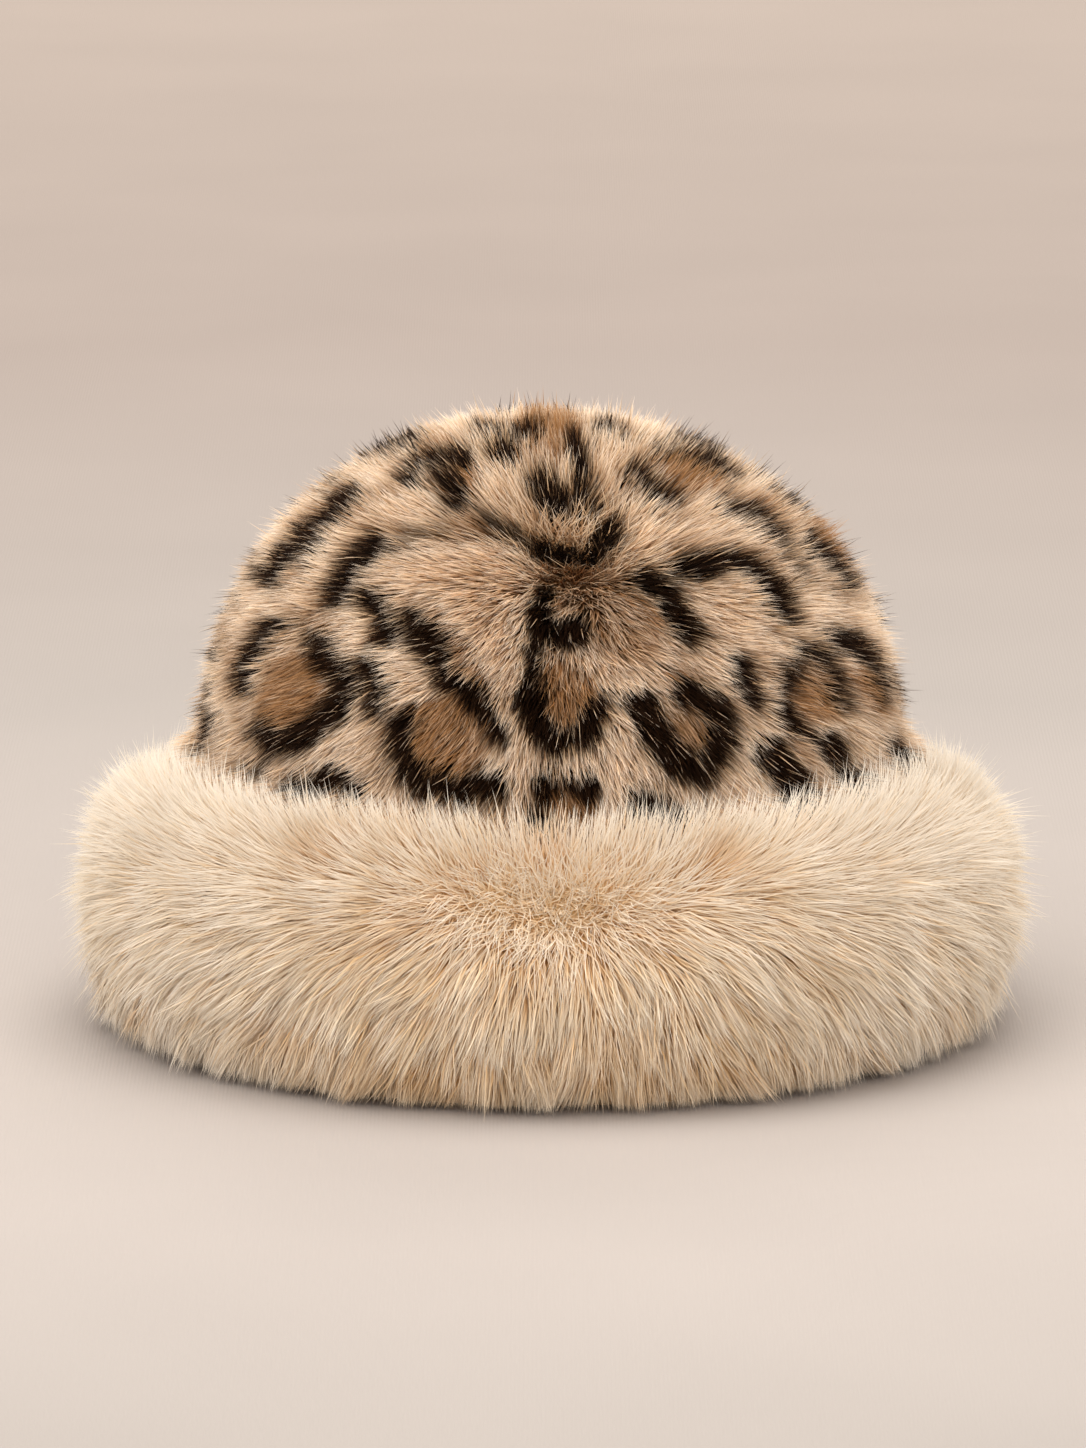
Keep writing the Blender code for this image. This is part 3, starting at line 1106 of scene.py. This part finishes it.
    def add_spot(self, point: Vector, normal: Vector, rng: np.random.Generator) -> None:
        """Add one short dark spot.

        Args:
            point: its middle, on the crown.
            normal: the skin's normal there.
            rng: source of chance.
        """
        one, other = self.level_axes(normal)
        turn = rng.uniform(0, math.tau)
        offset = (one * math.cos(turn) + other * math.sin(turn)) * rng.uniform(*self.spot_reach)
        ends = [self.tree.find_nearest(point + offset * sign)[0] for sign in (-1, 1)]
        self.back_marks.add(ends, rng.uniform(*self.spot_width), 1.0)

    @staticmethod
    def level_axes(normal: Vector) -> tuple[Vector, Vector]:
        """Return two directions along the surface at right angles."""
        one = normal.orthogonal().normalized()
        return one, normal.cross(one)

    def dye(self, points: Array, normals: Array, seed: int) -> dict[str, Array]:
        """Dye hairs by where they show.

        Args:
            points: for each hair, the point of it that shows most.
            normals: the skin's normals under them, since a mark is measured along the skin.
            seed: seed of the hairs' own variation.

        Returns:
            How dark, warm and pale each hair is, by attribute name, from 0 to 1.
        """
        rng = np.random.default_rng(seed)
        count = len(points)
        sight = unit(points - np.array(self.view.place))
        facing = -dot(normals, sight)[:, 0]
        front, back = facing > self.chart_end, facing < self.front_facing
        flat = self.view.flatten(points, self.depth_share)
        found = []
        for charted, ruled in ((self.front_marks, self.back_marks), (self.front_patches, self.back_patches)):
            gaps, strengths = np.full((2, count), 1.0), np.zeros((2, count))
            gaps[0, front], strengths[0, front] = charted.gap(flat[front])
            gaps[1, back], strengths[1, back] = ruled.gap(points[back], normals[back])
            nearer = np.argmin(gaps, axis=0)[None]
            found += [np.take_along_axis(gaps, nearer, 0)[0], np.take_along_axis(strengths, nearer, 0)[0]]
        gap, strength, patch_gap, patch_strength = found
        ragged = sum(high * waves(points, pitch, seed + at) for at, (high, pitch) in enumerate(self.ragged))
        edge = gap + ragged - self.spread + rng.normal(0, self.edge_noise, count)
        mark = strength * (1 - smooth_step(-self.edge_soft, self.edge_soft, edge))
        missed_share, missed_dye = self.missed
        mark *= np.where(rng.random(count) < missed_share, missed_dye, 1.0)
        warm = patch_strength * (1 - smooth_step(*self.patch_soft, patch_gap + ragged))
        high, pitch = self.warm_waves
        warm += high * waves(points, pitch, seed + 2)
        warm = np.clip(warm + rng.normal(*self.warm_noise, count), 0, 1)
        beside = self.warm_beside * self.band(gap, *self.beside)
        warm = np.clip(warm + beside * (1 + waves(points, 0.025, seed + 3)), 0, 1)
        pale = self.pale_halo * self.band(gap, *self.halo) * (1 - warm)
        pale = np.clip(pale + self.pale_chance * rng.random(count), 0, 1)
        return {"mark": mark, "warm": warm, "pale": pale, "tint": rng.random(count)}

    @staticmethod
    def band(gap: Array, start: float, full: float, fade: float, end: float) -> Array:
        """A soft band round a mark: it begins at start, is full from full to fade, and ends at end."""
        return smooth_step(start, full, gap) * (1 - smooth_step(fade, end, gap))


def vertex_data(mesh: Mesh) -> tuple[Array, Array]:
    """Return a mesh's points and its smooth normals.

    Args:
        mesh: the mesh.

    Returns:
        The points and the normals, one a row.
    """
    both = []
    for key in ("co", "normal"):
        values = np.empty(len(mesh.vertices) * 3)
        mesh.vertices.foreach_get(key, values)
        both.append(values.reshape(-1, 3))
    return both[0], both[1]


def finish_piece(mesh: Mesh, nodes: tuple[str, ...], materials: tuple[Material, ...]) -> None:
    """Make a mesh a piece of the hat.

    Args:
        mesh: the mesh, in place.
        nodes: the solids that it stands for.
        materials: its materials in order.
    """
    for material in materials:
        mesh.materials.append(material)
    piece = bpy.data.objects.new(mesh.name, mesh)
    bpy.context.scene.collection.objects.link(piece)
    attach(piece, BODY)
    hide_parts(*nodes)
    mesh.calc_loop_triangles()
    LOG.info("%s: %d triangles", piece.name, len(mesh.loop_triangles))


@dataclass
class Crown:
    """The dome of printed fur gores.

    Attributes:
        seam_turn: angle of the first seam round the dome.
        fleece_share: how much of the solid's pile is fleece under the hairs.
        fur_start: height at which the hairs begin, behind the cuff's crest.
        high_shoulder: the place where the fur stands longest, and shoulder_reach how far round it.
        calm_band: distances from the gather over which the hairs go from wild to combed.
        short_band: distances over which they go from the shortest share of their length to all of it.
        shown_share: how far along a hair the point is whose dye the whole hair takes.
    """

    form: CrownForm
    chart: Print
    gores: int = 6
    seam_turn: float = math.radians(-92)
    seam_gap: float = 0.0006
    columns: int = 24
    wall_rows: int = 6
    dome_rows: int = 40
    fleece_share: float = 0.50
    hairs: int = 27500
    fur_start: float = 0.067
    high_shoulder: tuple[float, float, float] = (0.066, 0.0, 0.140)
    shoulder_reach: float = 0.045
    calm_band: tuple[float, float] = (0.002, 0.020)
    short_band: tuple[float, float] = (0.002, 0.024)
    shortest: float = 0.80
    fullness: float = 1.08
    shoulder_growth: float = 0.20
    raised: float = 0.3
    shown_share: float = 0.3

    def coat(self, number: int) -> Coat:
        """Return the coat of one gore.

        Args:
            number: the gore's number, from 0.

        Returns:
            The coat.
        """
        return Coat(
            segments=2,
            length=0.0122,
            length_spread=0.24,
            width=0.00038,
            root_lift=math.radians(54),
            tip_lift=math.radians(20),
            plush_lift=math.radians(16),
            upright=math.radians(34),
            lift_spread=math.radians(9),
            turn_spread=math.radians(9),
            curl=0.20,
            clump_size=0.0024,
            clump_pull=0.42,
            lock_size=0.008,
            lock_pull=0.10,
            stray_share=0.05,
            seed=100 + number,
        )

    def pelt(self, number: int) -> Mesh:
        """Build one gore's pelt with its fleece: a closed shell between its inner and outer sides.

        Args:
            number: the gore's number, from 0.

        Returns:
            The mesh.
        """
        form = self.form
        middle = self.seam_turn + (number + 0.5) * math.tau / self.gores
        rows = self.wall_rows + self.dome_rows
        bm = bmesh.new()
        bmesh.ops.create_grid(bm, x_segments=self.columns, y_segments=rows, size=1.0)
        across = np.array([vert.co.x for vert in bm.verts])
        row = np.round((np.array([vert.co.y for vert in bm.verts]) + 1) / 2 * rows)
        tip = math.asin(form.gather_radius / form.half_width)
        slope = QUARTER + (tip - QUARTER) * np.maximum(0, row - self.wall_rows) / self.dome_rows
        height = form.edge_lift + (form.dome_base - form.edge_lift) * np.minimum(row / self.wall_rows, 1)
        inset = self.seam_gap / 2 / (form.half_width * np.sin(slope))
        angle = middle + across * (math.pi / self.gores - inset)
        inner = form.inner(angle, slope, height)
        step = 1e-4
        round_way = form.inner(angle + step, slope, height) - inner
        down_way = np.where(
            (slope < QUARTER - step)[:, None],
            form.inner(angle, slope + step, height) - inner,
            np.array([0.0, 0.0, -step]),
        )
        outward = unit(np.cross(down_way, round_way))
        share = form.pile_share(across, slope, np.where(slope < QUARTER - step, inner[:, 2], height))
        outer = inner + outward * (form.pelt + form.pile * self.fleece_share * share)[:, None]
        copy = bmesh.ops.duplicate(bm, geom=bm.verts[:] + bm.edges[:] + bm.faces[:])
        outside = [item for item in copy["geom"] if isinstance(item, bmesh.types.BMFace)]
        bm.verts.ensure_lookup_table()
        for vert, place in zip(bm.verts, np.concatenate((inner, outer))):
            vert.co = place
        for face in bm.faces:
            face.material_index = 1
            face.smooth = True
        for face in outside:
            face.material_index = 0
        rims = [edge for edge in bm.edges if edge.is_boundary]
        bridge = bmesh.ops.bridge_loops(bm, edges=rims)
        for face in bridge["faces"]:
            face.material_index = 1
        if outside[0].normal.dot(Vector(outward[0])) < 0:
            bmesh.ops.reverse_faces(bm, faces=bm.faces[:])
        bmesh.ops.recalc_face_normals(bm, faces=bm.faces[:])
        mesh = bpy.data.meshes.new(f"crown_gore_{number + 1}_pelt")
        bm.to_mesh(mesh)
        bm.free()
        return mesh

    def roots(self, number: int, mesh: Mesh) -> Roots:
        """Spread the roots of one gore's hair over its fleece, combed away from the gather.

        Args:
            number: the gore's number, from 0.
            mesh: the gore's pelt.

        Returns:
            The roots.
        """
        furred = [face.material_index == 0 and face.center.z > self.fur_start for face in mesh.polygons]
        place, normal = scatter(mesh, np.array(furred), self.hairs, 40 + number)
        gather = self.form.gather()
        comb = place - gather
        reach = np.linalg.norm(comb, axis=1)
        comb = unit(comb - normal * dot(comb, normal))
        calm = smooth_step(*self.calm_band, reach)
        share = self.shortest + (1 - self.shortest) * smooth_step(*self.short_band, reach)
        shoulder = np.array(self.high_shoulder)
        high = np.exp(-np.sum((place - shoulder) ** 2, axis=1) / self.shoulder_reach**2)
        share *= self.fullness + self.shoulder_growth * high
        return Roots(place, normal, comb, calm, share, self.raised + (1 - self.raised) * high)

    def build(self, fur: Material, fleece: Material, suede: Material) -> None:
        """Build every gore's pelt and fur.

        Args:
            fur: material of the hairs.
            fleece: material of the pelts' outer side.
            suede: material of their inner side.
        """
        for number in range(self.gores):
            node = f"crown_gore_{number + 1}"
            mesh = self.pelt(number)
            roots = self.roots(number, mesh)
            mark = self.chart.dye(*vertex_data(mesh), 60 + number)["mark"]
            attribute = mesh.attributes.new("mark", "FLOAT", "POINT")
            attribute.data.foreach_set("value", mark.astype(np.float32))
            finish_piece(mesh, (node,), (fleece, suede))
            coat = self.coat(number)
            line = coat.grow(roots)
            shown = line[:, 1] + (line[:, -1] - line[:, 1]) * self.shown_share
            dyes = self.chart.dye(shown, roots.normal, 80 + number)
            hair = coat.mesh(f"{node}_fur", roots, line, dyes)
            finish_piece(hair, (node,), (fur,))


# The cuff's pelt under its long hair: its section round from the inner foot, in millimetres
# outwards from the pelt of the head opening and upwards from the resting surface
CUFF_SECTION = (
    {"out": 0.9, "up": 0.2},
    {"out": 0.9, "up": 54.0},
    {"out": 11.5, "up": 66.5},
    {"out": 15.5, "up": 69.0},
    {"out": 20.0, "up": 67.5},
    {"out": 25.0, "up": 61.0},
    {"out": 27.6, "up": 48.0},
    {"out": 27.6, "up": 33.0},
    {"out": 25.2, "up": 18.0},
    {"out": 19.5, "up": 7.0},
    {"out": 14.0, "up": 0.2},
)


@dataclass
class Cuff:
    """The deep cuff of long cream fur, combed out from a whorl at its front.

    Attributes:
        whorl_height: height of the whorl's centre, with its width and rise.
        floor_gap: how far above the floor the lowest hairs end, the fringe up to fringe_gap.
        meet_spread: how far from the middle of the back the combing to the two sides fades out.
        bare_inside: how far out from the opening, and bare_foot how far along the foot, no hair grows.
        comb_down: how strongly the hairs turn down or up in front, and how much more behind.
        calm_band: whorl widths over which the hairs go from wild to combed.
        short_band: whorl widths over which they go from whorl_share of their length to all of it.
        raised_band: heights beside the whorl's between which hairs go from rising to lying.
        hanging_band: heights beside it over which the hairs below start to hang.
        crest_cut: how much shorter the rising hairs are, and rear_cut how much more so behind.
        foot_width: width of the foot that side_spread moves outwards, below spread_height.
        rear_drop: how far the back is lower, from drop_start up to the crest.
        rear_calm: how much flatter the rising hairs lie behind.
        rear_band: the front-to-back share of a direction over which the front goes over to the back.
        outer_side: how far out the outer side begins.
    """

    form: CrownForm
    steps: int = 120
    whorl_height: float = 0.060
    whorl_width: float = 0.027
    whorl_rise: float = 0.010
    hairs: int = 150000
    floor_gap: float = 0.0006
    fringe_gap: float = 0.0024
    meet_spread: float = math.radians(50)
    bare_inside: float = 0.006
    bare_foot: float = 0.024
    comb_down: tuple[float, float] = (2.4, 10.0)
    calm_band: tuple[float, float] = (0.25, 1.15)
    short_band: tuple[float, float] = (0.2, 1.6)
    raised_band: tuple[float, float] = (-0.012, 0.014)
    hanging_band: tuple[float, float] = (0.016, 0.042)
    hanging: float = 0.6
    whorl_share: float = 0.62
    crest_cut: float = 0.20
    rear_cut: float = 0.15
    foot_width: float = 0.014
    side_spread: float = 0.006
    spread_height: float = 0.040
    rear_drop: float = 0.007
    drop_start: float = 0.035
    crest: float = 0.069
    rear_calm: float = 0.55
    rear_band: tuple[float, float] = (-0.5, 0.45)
    outer_side: float = 0.020
    section_points: int = 400

    def coat(self) -> Coat:
        """Return the cuff's coat.

        Returns:
            The coat.
        """
        return Coat(
            segments=2,
            length=0.0235,
            length_spread=0.25,
            width=0.00041,
            root_lift=math.radians(42),
            tip_lift=math.radians(12),
            plush_lift=math.radians(30),
            upright=math.radians(40),
            lift_spread=math.radians(8),
            turn_spread=math.radians(8),
            curl=0.18,
            clump_size=0.0034,
            clump_pull=0.42,
            lock_size=0.011,
            lock_pull=0.20,
            stray_share=0.06,
            seed=7,
        )

    def section(self) -> Array:
        """The section's points as (out, up) in metres."""
        return np.array([(row["out"], row["up"]) for row in CUFF_SECTION]) * MM

    def pelt(self) -> Mesh:
        """Build the cuff's pelt: its section spun round, smoothed, and made oval as the opening is.

        Returns:
            The mesh.
        """
        form = self.form
        bm = bmesh.new()
        radius = form.half_width + form.pelt
        corners = [bm.verts.new((radius + out, 0, up)) for out, up in self.section()]
        edges = [bm.edges.new(pair) for pair in zip(corners, corners[1:] + corners[:1])]
        bmesh.ops.spin(
            bm,
            geom=corners + edges,
            cent=(0, 0, 0),
            axis=(0, 0, 1),
            angle=math.tau,
            steps=self.steps,
            use_merge=True,
        )
        oval = form.half_length - form.half_width
        for vert in bm.verts:
            reach = math.hypot(vert.co.x, vert.co.y)
            aside = abs(vert.co.x) / reach
            low = max(1 - vert.co.z / self.spread_height, 0)
            outer = min(max((reach - radius) / self.foot_width, 0), 1)
            vert.co.x += math.copysign(self.side_spread * outer * low * aside**2, vert.co.x)
            vert.co.y *= (reach + oval) / reach
        behind = self.behind(np.array([vert.co for vert in bm.verts]))
        for vert, share in zip(bm.verts, behind):
            vert.co.z -= self.rear_drop * share * smooth_step(self.drop_start, self.crest, vert.co.z)
        bmesh.ops.recalc_face_normals(bm, faces=bm.faces)
        for face in bm.faces:
            face.smooth = True
        mesh = bpy.data.meshes.new("cuff_pelt")
        bm.to_mesh(mesh)
        bm.free()
        return mesh

    def behind(self, places: Array) -> Array:
        """How far round to the back each place is: 0 in front and 1 behind the sides."""
        return smooth_step(*self.rear_band, places[:, 1] / np.hypot(places[:, 0], places[:, 1]))

    def roots(self, mesh: Mesh) -> Roots:
        """Spread the roots over the cuff's outer side and top, combed out from the whorl.

        Args:
            mesh: the cuff's pelt.

        Returns:
            The roots.
        """
        form = self.form
        centres = np.array([face.center for face in mesh.polygons])
        out = np.hypot(centres[:, 0], centres[:, 1] * form.half_width / form.half_length) - form.half_width
        inner_side = (out < self.bare_inside) | ((centres[:, 2] < 2 * MM) & (out < self.bare_foot))
        place, normal = scatter(mesh, ~inner_side, self.hairs, 30)
        angle = np.arctan2(place[:, 1] / form.half_length, place[:, 0] / form.half_width)
        turn = from_front(angle)
        radius = form.half_width + form.pelt
        fade = 1 - smooth_step(math.pi - self.meet_spread, math.pi, np.abs(turn))
        down = self.down_from_whorl(place)
        least, more = self.comb_down
        steer = least + more * np.abs(turn) / math.pi
        level = np.stack((-np.sin(angle), np.cos(angle), np.zeros(len(angle))), -1)
        level = unit(level - normal * dot(level, normal))
        comb = level * (turn * radius * fade)[:, None] + np.cross(level, normal) * (steer * down)[:, None]
        reach = np.hypot(turn * radius / self.whorl_width, down / self.whorl_rise)
        calm = smooth_step(*self.calm_band, reach)
        raised = 1 - smooth_step(*self.raised_band, down)
        raised -= self.hanging * smooth_step(*self.hanging_band, down)
        share = self.whorl_share + (1 - self.whorl_share) * smooth_step(*self.short_band, reach)
        behind = self.behind(place)
        rising = np.maximum(raised, 0)
        share *= (1 - self.crest_cut * rising) * (1 - self.rear_cut * behind * rising)
        raised = np.where(raised > 0, raised * (1 - self.rear_calm * behind), raised)
        return Roots(place, normal, unit(comb), calm, share, raised)

    def settle(self, line: Array) -> Array:
        """Shorten the hairs that would reach into the floor until they end a little above it.

        Args:
            line: points along each hair.

        Returns:
            The points along each hair.
        """
        root, low = line[:, :1], line[..., 2].min(axis=1)
        drop = np.maximum(root[:, 0, 2] - low, 1e-6)
        gap = np.random.default_rng(19).triangular(self.floor_gap, self.floor_gap, self.fringe_gap, len(line))
        room = np.maximum(root[:, 0, 2] - gap, 0)
        share = np.clip(room / drop, 0.05, 1.0)
        return root + (line - root) * share[:, None, None]

    def down_from_whorl(self, place: Array) -> Array:
        """How far each place lies down the section from the whorl's height, less than 0 above it.

        Args:
            place: points on the cuff, one a row.

        Returns:
            The lengths in metres.
        """
        form = self.form
        section = self.section()
        steps = np.linspace(0, len(section) - 1, self.section_points)
        dense = np.stack([np.interp(steps, np.arange(len(section)), section[:, axis]) for axis in (0, 1)], -1)
        walk = np.concatenate(([0.0], np.cumsum(np.linalg.norm(np.diff(dense, axis=0), axis=1))))
        outer = (dense[:, 0] > self.outer_side) & (dense[:, 1] <= self.whorl_height)
        start = walk[np.argmax(outer)]
        angle = np.arctan2(place[:, 1] / form.half_length, place[:, 0] / form.half_width)
        reach = np.hypot(place[:, 0], place[:, 1])
        oval = (form.half_length - form.half_width) * np.sin(angle) ** 2
        out = reach - oval - form.half_width - form.pelt
        nearest = KDTree(len(dense))
        for number, (across, up) in enumerate(dense):
            nearest.insert((across, up, 0), number)
        nearest.balance()
        found = np.array([nearest.find((across, up, 0))[1] for across, up in zip(out, place[:, 2])])
        return walk[found] - start

    def dye(self, roots: Roots, aside: Array) -> dict[str, Array]:
        """Return the hairs' shares of each tone: paler on top, in the whorl and aside of the front, darker
        low in front. This is partly the fur's own colour and partly painted light: the darker hanging hair
        below is painted shade from light falling from above, the paler whorl is painted light that lifts the
        shade among its upright hairs, and the darker front and paler sides are partly painted light too.

        Args:
            roots: the roots.
            aside: how far aside of the front each root is, from 0 to 1.

        Returns:
            The shares by attribute name.
        """
        rng = np.random.default_rng(17)
        place, count = roots.place, len(roots.place)
        whorl = 1 - roots.calm
        hanging = np.maximum(-roots.raised, 0) / self.hanging
        # Partly painted light: hanging hair low in front gets more of the dark tone as painted shade, and the
        # whorl and the sides get more of the pale tone as painted light.
        high = 0.15 + 0.68 * np.maximum(roots.raised, 0) + 0.50 * whorl + 0.45 * aside
        low = 0.50 + 0.45 * hanging - 0.35 * whorl - 0.40 * aside
        return {
            "mark": np.clip(low - 0.55 + 0.3 * waves(place, 0.016, 21) + rng.normal(0, 0.1, count), 0, 1),
            "warm": np.clip(low + 0.3 * waves(place, 0.03, 22) + rng.normal(0, 0.2, count), 0, 1),
            "pale": np.clip(high + 0.2 * waves(place, 0.012, 23) + rng.normal(0, 0.25, count), 0, 1),
            "tint": rng.random(count),
        }

    def build(self, fur: Material, fleece: Material) -> None:
        """Build the cuff's pelt and its fur in quarters.

        Args:
            fur: material of the hairs.
            fleece: material of the pelt.
        """
        mesh = self.pelt()
        roots = self.roots(mesh)
        finish_piece(mesh, ("cuff",), (fleece,))
        coat = self.coat()
        line = self.settle(coat.grow(roots))
        angle = np.arctan2(roots.place[:, 1], roots.place[:, 0])
        dyes = self.dye(roots, smooth_step(0.15, 1.0, np.abs(from_front(angle))))
        for side in Side:
            turn = np.mod(angle - side.value + math.pi, math.tau) - math.pi
            own = (turn >= -QUARTER / 2) & (turn < QUARTER / 2)
            dye = {key: values[own] for key, values in dyes.items()}
            hair = coat.mesh(f"cuff_fur_{side.name.lower()}", roots.some(own), line[own], dye)
            finish_piece(hair, ("cuff",), (fur,))


@dataclass(frozen=True)
class Softbox:
    """A square soft light: its place, the point that it faces, its side in metres and its watts."""

    name: str
    place: tuple[float, float, float]
    aim: tuple[float, float, float]
    side: float
    power: float
    colour: str = "#FFFCF8"

    def build(self) -> None:
        """Hang the light."""
        data = bpy.data.lights.new(self.name, "AREA")
        data.shape = "SQUARE"
        data.size = self.side
        data.energy = self.power
        data.color = to_linear(self.colour)[:3]
        light = bpy.data.objects.new(self.name, data)
        light.location = self.place
        light.rotation_euler = (Vector(self.aim) - Vector(self.place)).to_track_quat("-Z", "Y").to_euler()
        bpy.context.scene.collection.objects.link(light)


LIGHTS = (
    Softbox(name="key_softbox", place=(-1.7, -1.3, 2.1), aim=(0, 0, 0.08), side=2.6, power=47.0),
    Softbox(name="fill_softbox", place=(1.3, -2.3, 1.6), aim=(0, 0, 0.08), side=2.8, power=41.0),
    Softbox(name="top_softbox", place=(0.1, 0.0, 2.0), aim=(0, 0, 0.0), side=1.5, power=20.0),
    Softbox(name="back_softbox", place=(0.3, 3.2, 2.4), aim=(0, 2.4, 0.0), side=2.2, power=36.0),
)


@dataclass
class Studio:
    """A wide pale cloth under the hat, and soft light from the front and a little from behind."""

    half_width: float = 6.0
    air: str = "#FFF7EF"
    air_strength: float = 0.53

    def add_cloth(self) -> None:
        """Build the floor as one flat sheet."""
        bm = bmesh.new()
        bmesh.ops.create_grid(bm, x_segments=4, y_segments=4, size=self.half_width)
        mesh = bpy.data.meshes.new("studio_cloth")
        bm.to_mesh(mesh)
        bm.free()
        mesh.materials.append(LinenFinish().material())
        cloth = bpy.data.objects.new("studio_cloth", mesh)
        bpy.context.scene.collection.objects.link(cloth)

    def build(self) -> None:
        """Build the cloth, the lights and the room's even light."""
        self.add_cloth()
        for light in LIGHTS:
            light.build()
        scene = bpy.context.scene
        world = bpy.data.worlds.new("studio_air")
        scene.world = world
        world.use_nodes = True
        sky = world.node_tree.nodes["Background"]
        sky.inputs["Color"].default_value = to_linear(self.air)
        sky.inputs["Strength"].default_value = self.air_strength
        scene.view_settings.view_transform = "Standard"


def main() -> None:
    """Build the hat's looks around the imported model."""
    logging.basicConfig(level=logging.INFO, format="%(name)s %(message)s")
    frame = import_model()
    view = PhotoView()
    view.add_camera()
    form = CrownForm()
    printed = PRINTED_FUR.material()
    cream = CREAM_FUR.material()
    printed_fleece = FleeceFinish("printed_fleece", "#BC8C58", "#8A5C34", "#0C0704").material()
    cream_fleece = FleeceFinish("cream_fleece", "#F2D6A6", "#E2B87C", "#CC9654").material()
    suede = SuedeFinish().material()
    chart = Print(view, form, frame["nodes"])
    Crown(form, chart).build(printed, printed_fleece, suede)
    Cuff(form).build(cream, cream_fleece)
    Studio().build()


if __name__ == "__main__":
    main()
